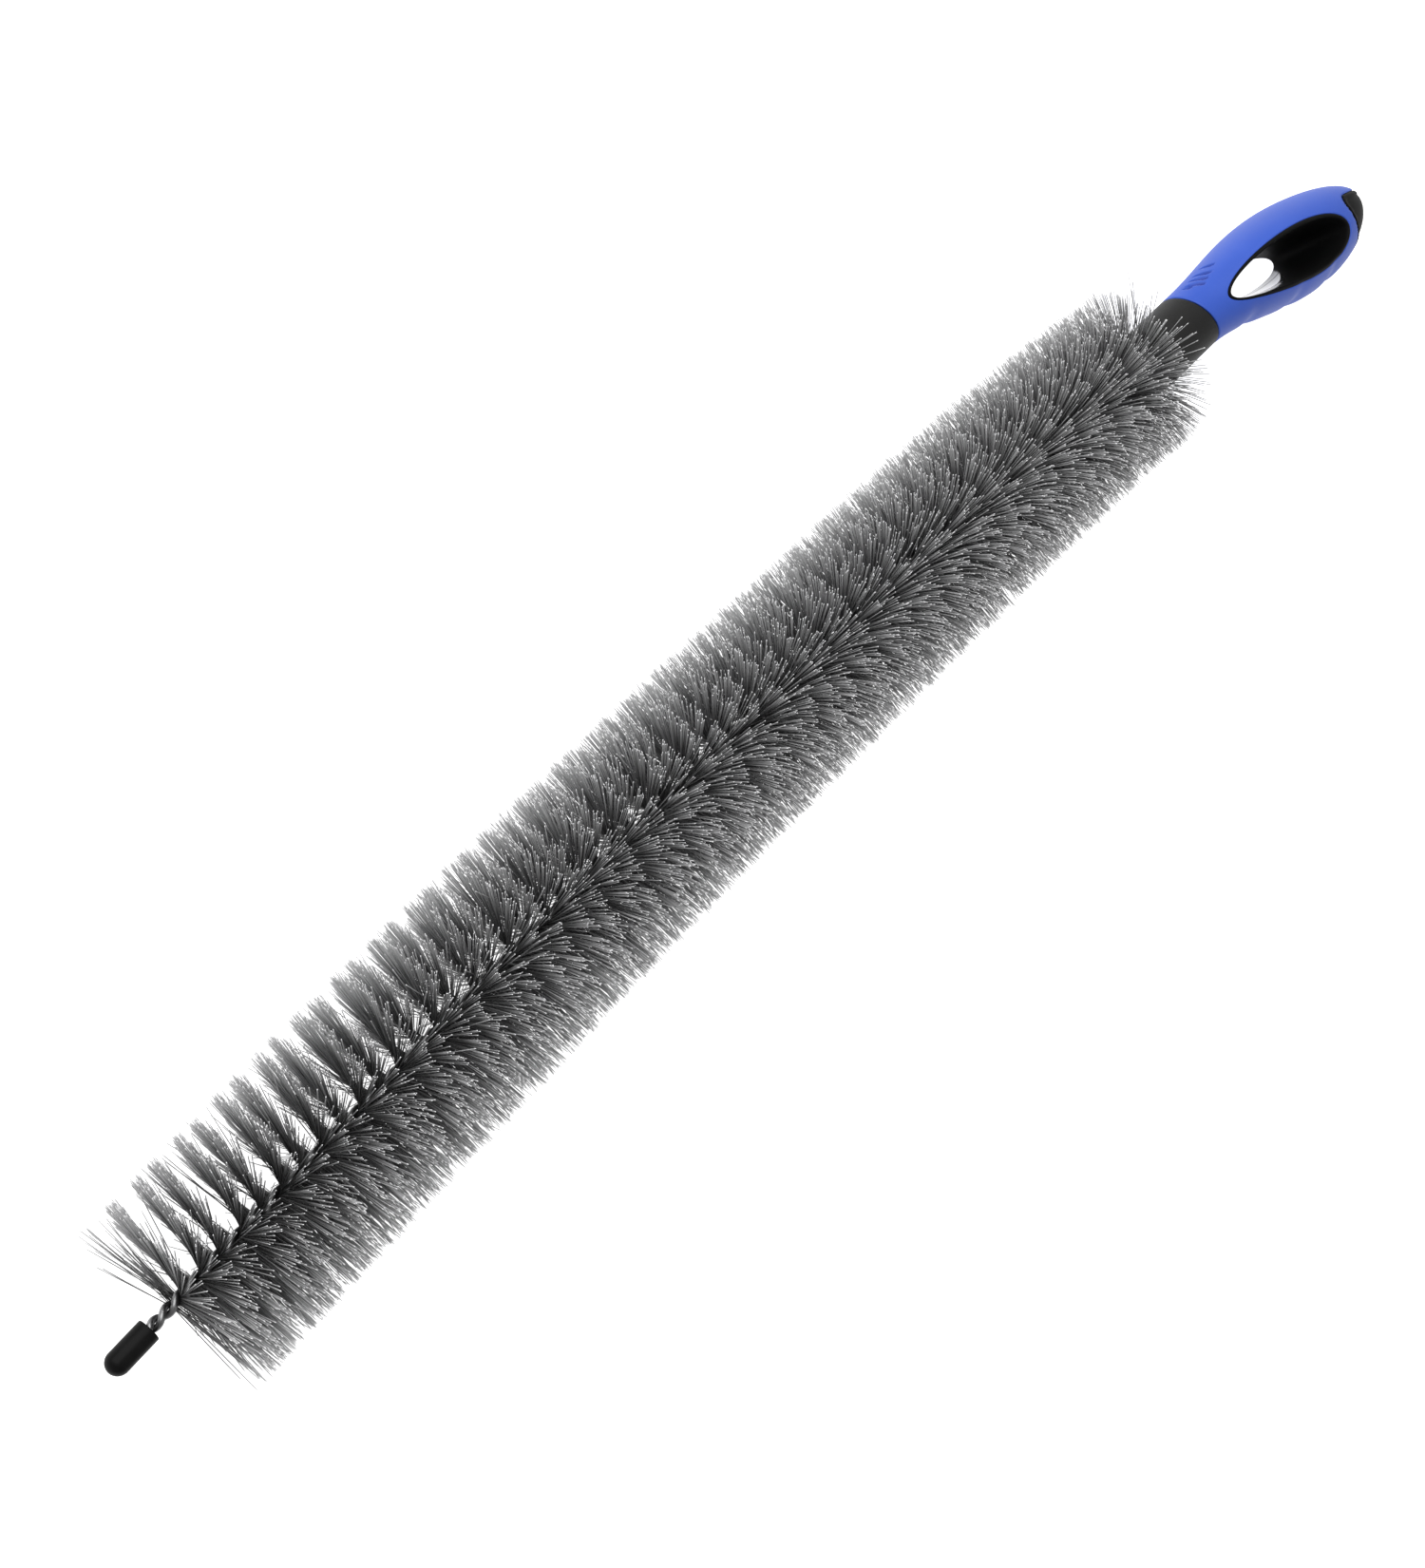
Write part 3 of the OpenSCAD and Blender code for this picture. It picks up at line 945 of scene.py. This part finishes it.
def skin_piece(name, material, sunk_of, keep_inside, nodes):
    """A piece of the grip's outside: both halves, sunk by a given depth.

    What lies inside the insert's outline is kept or dropped, and the rest gets a
    wall of its own.
    """
    points, faces, groove_shade = [], [], []
    first = 0
    for side in (1, -1):
        h, t, from_rim, from_front, inside = grip_half(side)
        sunk = sunk_of(from_rim, from_front, inside)
        skin = grip_point(h, t, sunk)
        quads = grid_faces(*h.shape, wrap_rows=True, first=first)
        faces += quads.tolist() if side < 0 else quads[:, ::-1].tolist()
        points.append(skin.reshape(-1, 3))
        # The groove depth at each point, which the rubber reads to paint shade into the grooves.
        groove_shade.append(grooves(h, t).ravel())
        first += skin.shape[0] * skin.shape[1]
    piece = new_piece(name, np.concatenate(points), faces, material, "brush", nodes)
    point_attribute(piece, "groove", np.concatenate(groove_shade))
    cut_to_region(piece, keep_inside)
    wall = piece.modifiers.new("wall", "SOLIDIFY")
    wall.thickness = SKIN_WALL
    wall.offset = -1
    return piece


def grip_sunk(from_rim, from_front, inside):
    """Rounded edges at the window's rim, at the front and along the insert."""
    return (
        edge_drop(from_rim, RIM_ROUND)
        + edge_drop(np.maximum(from_front, 0), FRONT_ROUND)
        + edge_drop(np.maximum(-inside, 0), INSERT_ROUND)
    )


def insert_sunk(from_rim, from_front, inside):
    """A rounded bead along the edge, and a dished panel inside it."""
    bead = edge_drop(np.maximum(inside, 0), INSERT_ROUND)
    dish = DISH_RUN * np.clip((inside - DISH_START) / DISH_RUN, 0, 1) ** 2
    return bead + np.minimum(dish, DISH_DEPTH)


skin_piece("grip_skin", RUBBER, grip_sunk, False, ("grip",))
skin_piece("butt_insert", LINING, insert_sunk, True, ("handle_core",))


def window_lining():
    """The hard lining: a ring round the window with a rounded lip at each end.

    For each angle of the egg, the profile climbs from the seam with the grip,
    over a bead, down the window's wall and over the lower bead, and returns
    behind the grip. It is closed both ways.
    """
    a = np.linspace(0, TAU, 260, endpoint=False)

    def lip(side, extras, drops):
        made = []
        for extra, drop in zip(extras, drops):
            h, t = window_rim(a, side, extra)
            point = grip_point(h, t)
            point[:, 2] -= side * drop
            made.append(point)
        return made

    turn = np.linspace(0, 1, 9)
    past_crest = (turn - LIP_CREST) / (1 - LIP_CREST)
    drops = np.where(
        turn < LIP_CREST,
        edge_drop(turn * LIP_T, LIP_ROUND) * LIP_FALL,
        LIP_ROLL * (1 - np.sqrt(np.maximum(1 - past_crest**2, 0))),
    )
    extras = LIP_T * (1 - turn)
    upper = lip(1, extras, drops)
    lower = lip(-1, extras, drops * LOWER_LIP_SHARE)[::-1]
    z_high, z_low = upper[-1][:, 2], lower[0][:, 2]
    wall = []
    by_parting = [PARTING_AT - 0.015, PARTING_AT, PARTING_AT + 0.015]
    heights = np.concatenate(
        [np.linspace(0, PARTING_AT - 0.03, 20)[1:], by_parting, np.linspace(0.9, 1, 5)[:-1]]
    )
    for u in heights:
        z = z_high + (z_low - z_high) * u
        h, y = window_outline(a, z, 0)
        wall.append(np.stack([GRIP_X + h, y, z], -1))
    behind = []
    for u in (0.04, 0.35, 0.65, 0.96):
        z = lower[-1][:, 2] + (upper[0][:, 2] - lower[-1][:, 2]) * u
        h, y = window_outline(a, z, LIP_T)
        behind.append(np.stack([GRIP_X + h, y, z], -1))
    rows = np.stack([*upper, *wall, *lower, *behind])
    faces = grid_faces(len(rows), len(a), wrap_rows=True, wrap_columns=True)
    piece = new_piece(
        "window_lining", rows, faces.tolist(), LINING, "brush", ("handle_core",)
    )
    # One side of the wall is polished, but for its parting line. The polish fades
    # in over ten degrees and out over four, sooner the higher up the wall.
    depth = np.zeros(len(rows))
    depth[len(upper) : len(upper) + len(wall)] = heights
    polish_end = np.radians(POLISH_TO - POLISH_RAKE * (rows[..., 2] / MM - POLISH_TO_HEIGHT))
    fade_out = np.clip((polish_end - a) / np.radians(4), 0, 1)
    fade_in = np.clip((a - np.radians(POLISH_FROM)) / np.radians(10), 0, 1)
    parting = np.exp(-(((depth - PARTING_AT) / PARTING_W) ** 2))
    polish = np.where(depth > 0, 1 - 0.9 * parting, 0)
    polish[len(upper) + len(wall) : -len(behind)] = 0.35
    point_attribute(piece, "polish", polish[:, None] * (fade_out * fade_in))
    outward(piece)


window_lining()


def ferrule():
    """The bare front of the core: a mouth, a dished front, a long grained wall.

    The front falls back as a cone from the mouth to a ring just inside the edge,
    and a second cone rises from there to the rim. The wall ends short of the
    slanted line where the grip begins, which leans as a sine round the ferrule,
    and a step takes it down inside the grip.
    """
    sides = 128
    t = np.linspace(0, TAU, sides, endpoint=False)
    back = GRIP_X - np.tan(FRONT_SLANT) * FERRULE_R * np.sin(t)
    r = FERRULE_R
    rim = FERRULE_RIM
    wall_start = FERRULE_X + rim
    rings = [
        (FERRULE_X + FERRULE_MOUTH_DEPTH, BORE_FLOOR_R),
        (FERRULE_X + FERRULE_MOUTH_DEPTH, BORE_R),
        (FERRULE_X + FERRULE_MOUTH_EDGE, BORE_R),
        (FERRULE_X, BORE_R + FERRULE_MOUTH_EDGE),
    ]
    for rise in np.sin(np.linspace(0, TAU / 4, 7)):
        rings.append((FERRULE_X + rim * (1 - rise), r - rim + rim * rise))
    for u in np.linspace(0, 1, 30)[1:]:
        rings.append((wall_start + (back - FERRULE_TO_GRIP - FERRULE_X - rim) * u, r))
    rings += [
        (back - 0.5 * MM, r - 0.06 * MM),
        (back - 0.4 * MM, r - 0.3 * MM),
        (back - 0.4 * MM, r - 1.6 * MM),
        (back + FERRULE_INSIDE_GRIP, r - 1.8 * MM),
        (back + FERRULE_INSIDE_GRIP, BORE_FLOOR_R),
    ]
    points = np.stack(
        [
            np.stack([x + 0 * t, FERRULE_Y + radius * np.sin(t), FERRULE_Z + radius * np.cos(t)], -1)
            for x, radius in rings
        ]
    )
    faces = tube_faces(len(rings), sides)
    piece = new_piece("ferrule", points, faces, FERRULE, "brush", ("handle_core",))
    outward(piece)


ferrule()


# ---------------------------------------------------------------------- stage


def stage():
    """A white table, a soft bright room, two lamps and the camera."""
    floor = Finish("white_table", Roughness=0.9)
    floor.set("Base Color", (0.50, 0.50, 0.50))
    floor.set("Emission Color", (1.0, 1.0, 1.0))
    floor.set("Emission Strength", 1.0)
    mesh = bpy.data.meshes.new("table")
    half = TABLE_HALF
    corners = [(-half, -half, 0), (half, -half, 0), (half, half, 0), (-half, half, 0)]
    mesh.from_pydata(corners, [], [(0, 1, 2, 3)])
    mesh.materials.append(floor.material)
    table = bpy.data.objects.new("table", mesh)
    bpy.context.scene.collection.objects.link(table)

    world = bpy.data.worlds.new("soft_room")
    world.use_nodes = True
    background = world.node_tree.nodes["Background"]
    background.inputs["Color"].default_value = (1, 1, 1, 1)
    background.inputs["Strength"].default_value = ROOM_LIGHT
    bpy.context.scene.world = world

    for name, place, aim, size, power in LAMPS:
        lamp = bpy.data.lights.new(name, "AREA")
        lamp.size = size
        lamp.energy = power
        lamp_object = bpy.data.objects.new(name, lamp)
        lamp_object.location = place
        towards = np.array(aim) - place
        lamp_object.rotation_euler = Vector(towards).to_track_quat("-Z", "Y").to_euler()
        bpy.context.scene.collection.objects.link(lamp_object)

    camera = bpy.data.cameras.new("camera")
    camera.lens = CAMERA_LENS
    camera.sensor_width = 36
    camera.clip_start = 0.01
    camera.clip_end = 20
    camera_object = bpy.data.objects.new("camera", camera)
    camera_object.location = CAMERA_PLACE
    camera_object.rotation_euler = CAMERA_TURN
    bpy.context.scene.collection.objects.link(camera_object)
    bpy.context.scene.camera = camera_object
    bpy.context.scene.view_settings.view_transform = "Standard"


stage()
